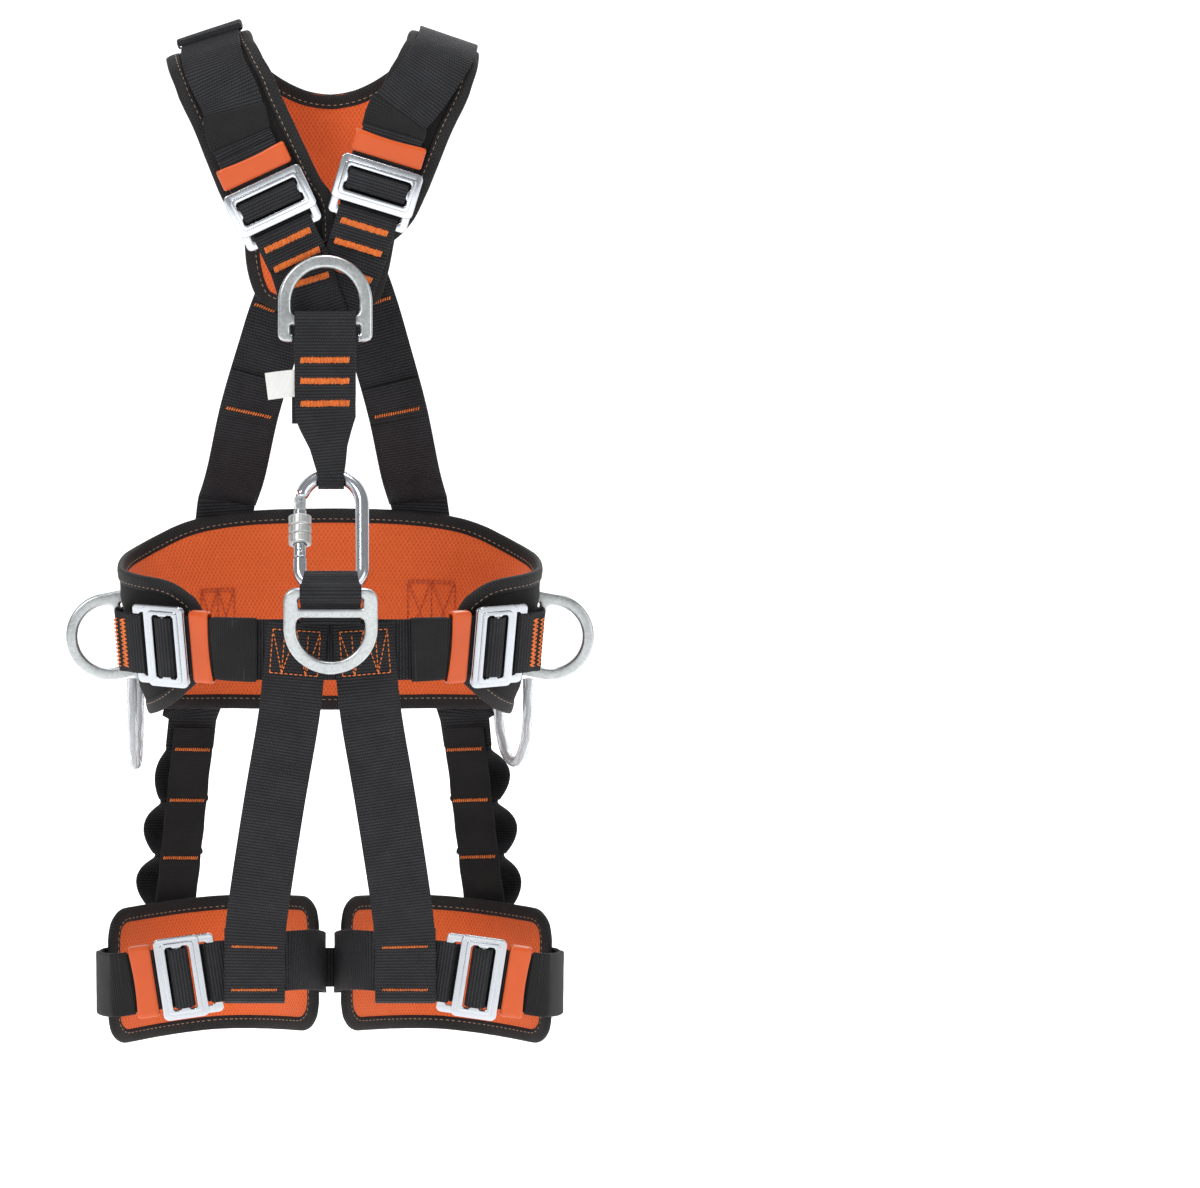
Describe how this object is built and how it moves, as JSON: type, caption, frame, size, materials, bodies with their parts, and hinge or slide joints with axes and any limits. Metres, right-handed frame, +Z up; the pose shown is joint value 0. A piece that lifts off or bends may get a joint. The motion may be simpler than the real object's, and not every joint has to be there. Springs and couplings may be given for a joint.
{
  "type": "tree climbing saddle",
  "caption": "Full-body climbing saddle with padded yoke, waist belt and leg loops, steel D rings, plate buckles with sliding bars, and a screw-gate connector joining chest to belt.",
  "frame": {"origin": "centre of the waist ring at belt height, where the wearer's torso holds the saddle", "axes": "+Z up, -Y the way the wearer faces, +X to the wearer's left"},
  "size_m": [0.4008, 0.2471, 0.7709],
  "materials": {
    "black_webbing": "woven polyester webbing with fine cross ribs, matt",
    "black_elastic": "knitted elastic band, matt",
    "pad_shell": "black knitted outer shell and folded binding over foam",
    "pad_lining": "orange knitted mesh lining, matt",
    "orange_thread": "bonded sewing thread, slight sheen",
    "tan_thread": "sewing thread, matt",
    "white_tape": "blank woven tape",
    "white_cord": "braided cord",
    "zinc_steel": "bright zinc-plated steel",
    "orange_plastic": "moulded, satin",
    "black_moulding": "moulded, fine texture",
    "clear_tube": "clear flexible tube"
  },
  "bodies": {
    "harness": {"right_ring_loop": "black_webbing", "left_ring_loop": "black_webbing", "right_chest_buckle_plate": "zinc_steel", "right_chest_buckle_frame": "zinc_steel", "left_chest_buckle_plate": "zinc_steel", "left_chest_buckle_frame": "zinc_steel", "right_waist_buckle_plate": "zinc_steel", "right_waist_buckle_frame": "zinc_steel", "right_leg_buckle_plate": "zinc_steel", "right_leg_buckle_frame": "zinc_steel", "left_waist_buckle_plate": "zinc_steel", "left_waist_buckle_frame": "zinc_steel", "left_leg_buckle_plate": "zinc_steel", "left_leg_buckle_frame": "zinc_steel", "carabiner_body": "zinc_steel", "gate_pivot_pin": "zinc_steel", "back_yoke_pad": "pad_shell", "right_shoulder_strap": "black_webbing", "left_shoulder_strap": "black_webbing", "right_chest_strap": "black_webbing", "left_chest_strap": "black_webbing", "sternal_strap": "black_webbing", "right_rear_strap": "black_webbing", "right_rear_elastic": "black_elastic", "left_rear_strap": "black_webbing", "left_rear_elastic": "black_elastic", "dorsal_plate": "black_moulding", "dorsal_loop": "black_webbing", "waist_belt_pad": "pad_shell", "rear_belt_webbing": "black_webbing", "front_belt_webbing": "black_webbing", "ventral_loop": "black_webbing", "right_leg_pad": "pad_shell", "left_leg_pad": "pad_shell", "right_leg_strap": "black_webbing", "left_leg_strap": "black_webbing", "right_thigh_strap": "black_webbing", "left_thigh_strap": "black_webbing", "crotch_link": "black_webbing"},
    "sternal_ring": {"sternal_ring": "zinc_steel"},
    "ventral_ring": {"ventral_ring": "zinc_steel"},
    "dorsal_ring": {"dorsal_ring": "zinc_steel"},
    "right_side_ring": {"right_side_ring": "zinc_steel"},
    "left_side_ring": {"left_side_ring": "zinc_steel"},
    "right_chest_slider_bar": {"right_chest_slider_bar": "zinc_steel"},
    "right_chest_keeper": {"right_chest_keeper": "orange_plastic"},
    "left_chest_slider_bar": {"left_chest_slider_bar": "zinc_steel"},
    "left_chest_keeper": {"left_chest_keeper": "orange_plastic"},
    "right_waist_slider_bar": {"right_waist_slider_bar": "zinc_steel"},
    "right_waist_keeper": {"right_waist_keeper": "orange_plastic"},
    "right_leg_slider_bar": {"right_leg_slider_bar": "zinc_steel"},
    "right_leg_keeper": {"right_leg_keeper": "orange_plastic"},
    "left_waist_slider_bar": {"left_waist_slider_bar": "zinc_steel"},
    "left_waist_keeper": {"left_waist_keeper": "orange_plastic"},
    "left_leg_slider_bar": {"left_leg_slider_bar": "zinc_steel"},
    "left_leg_keeper": {"left_leg_keeper": "orange_plastic"},
    "carabiner_gate": {"carabiner_gate": "zinc_steel"},
    "locking_sleeve": {"locking_sleeve": "zinc_steel"},
    "right_tool_loop": {"right_tool_loop": "clear_tube"},
    "left_tool_loop": {"left_tool_loop": "clear_tube"}
  },
  "joints": [
    {"name": "sternal_ring_swing", "type": "hinge", "parent": "harness", "child": "sternal_ring", "pos_m": [-0.0035, -0.074, 0.2465], "axis": [1, 0, 0], "range_deg": [0, 110]},
    {"name": "ventral_ring_swing", "type": "hinge", "parent": "harness", "child": "ventral_ring", "pos_m": [0.0004, -0.133, 0.053], "axis": [-1, 0, 0], "range_deg": [-10, 100]},
    {"name": "dorsal_ring_swing", "type": "hinge", "parent": "harness", "child": "dorsal_ring", "pos_m": [0, 0.0695, 0.327], "axis": [-1, 0, 0], "range_deg": [0, 110]},
    {"name": "right_side_ring_swing", "type": "hinge", "parent": "harness", "child": "right_side_ring", "pos_m": [-0.1478, 0.05447, -0.001], "axis": [-0.1932, 0.0511, 0.9798], "range_deg": [-30, 30]},
    {"name": "left_side_ring_swing", "type": "hinge", "parent": "harness", "child": "left_side_ring", "pos_m": [0.1478, 0.05447, -0.001], "axis": [0.1932, 0.0511, 0.9798], "range_deg": [-30, 30]},
    {"name": "carabiner_gate_swing", "type": "hinge", "parent": "harness", "child": "carabiner_gate", "pos_m": [-0.02195, -0.09032, 0.11483], "axis": [0, -0.8897, 0.4566], "range_deg": [0, 25], "stiffness_Nm_per_rad": 0.3, "springref_deg": -20.05},
    {"name": "locking_sleeve_slide", "type": "slide", "parent": "carabiner_gate", "child": "locking_sleeve", "axis": [0, -0.4566, -0.8897], "range_m": [0, 0.009]},
    {"name": "right_chest_slider_bar_slide", "type": "slide", "parent": "harness", "child": "right_chest_slider_bar", "axis": [0.423, 0, -0.9061], "range_m": [-0.0015, 0.0015]},
    {"name": "right_chest_keeper_slide", "type": "slide", "parent": "harness", "child": "right_chest_keeper", "axis": [0.423, 0, -0.9061], "range_m": [0, 0.003]},
    {"name": "left_chest_slider_bar_slide", "type": "slide", "parent": "harness", "child": "left_chest_slider_bar", "axis": [-0.2921, 0, -0.9564], "range_m": [-0.0015, 0.0015]},
    {"name": "left_chest_keeper_slide", "type": "slide", "parent": "harness", "child": "left_chest_keeper", "axis": [-0.2921, 0, -0.9564], "range_m": [0, 0.003]},
    {"name": "right_waist_slider_bar_slide", "type": "slide", "parent": "harness", "child": "right_waist_slider_bar", "axis": [-0.8606, 0.5093, 0], "range_m": [-0.0015, 0.0015]},
    {"name": "right_waist_keeper_slide", "type": "slide", "parent": "harness", "child": "right_waist_keeper", "axis": [-0.8606, 0.5093, 0], "range_m": [0, 0.003]},
    {"name": "right_leg_slider_bar_slide", "type": "slide", "parent": "harness", "child": "right_leg_slider_bar", "axis": [0.989, 0, 0.148], "range_m": [-0.0015, 0.0015]},
    {"name": "right_leg_keeper_slide", "type": "slide", "parent": "harness", "child": "right_leg_keeper", "axis": [0.989, 0, 0.148], "range_m": [0, 0.003]},
    {"name": "left_waist_slider_bar_slide", "type": "slide", "parent": "harness", "child": "left_waist_slider_bar", "axis": [0.8606, 0.5093, 0], "range_m": [-0.0015, 0.0015]},
    {"name": "left_waist_keeper_slide", "type": "slide", "parent": "harness", "child": "left_waist_keeper", "axis": [0.8606, 0.5093, 0], "range_m": [0, 0.003]},
    {"name": "left_leg_slider_bar_slide", "type": "slide", "parent": "harness", "child": "left_leg_slider_bar", "axis": [-0.989, 0, 0.148], "range_m": [-0.0015, 0.0015]},
    {"name": "left_leg_keeper_slide", "type": "slide", "parent": "harness", "child": "left_leg_keeper", "axis": [-0.989, 0, 0.148], "range_m": [0, 0.003]},
    {"name": "right_tool_loop_swing", "type": "hinge", "parent": "harness", "child": "right_tool_loop", "pos_m": [-0.1462, 0.00877, -0.0265], "axis": [0.0592, 0.9982, 0], "range_deg": [0, 30]},
    {"name": "left_tool_loop_swing", "type": "hinge", "parent": "harness", "child": "left_tool_loop", "pos_m": [0.13775, 0.02291, -0.0265], "axis": [0.2272, -0.9738, 0], "range_deg": [0, 30]}
  ]
}
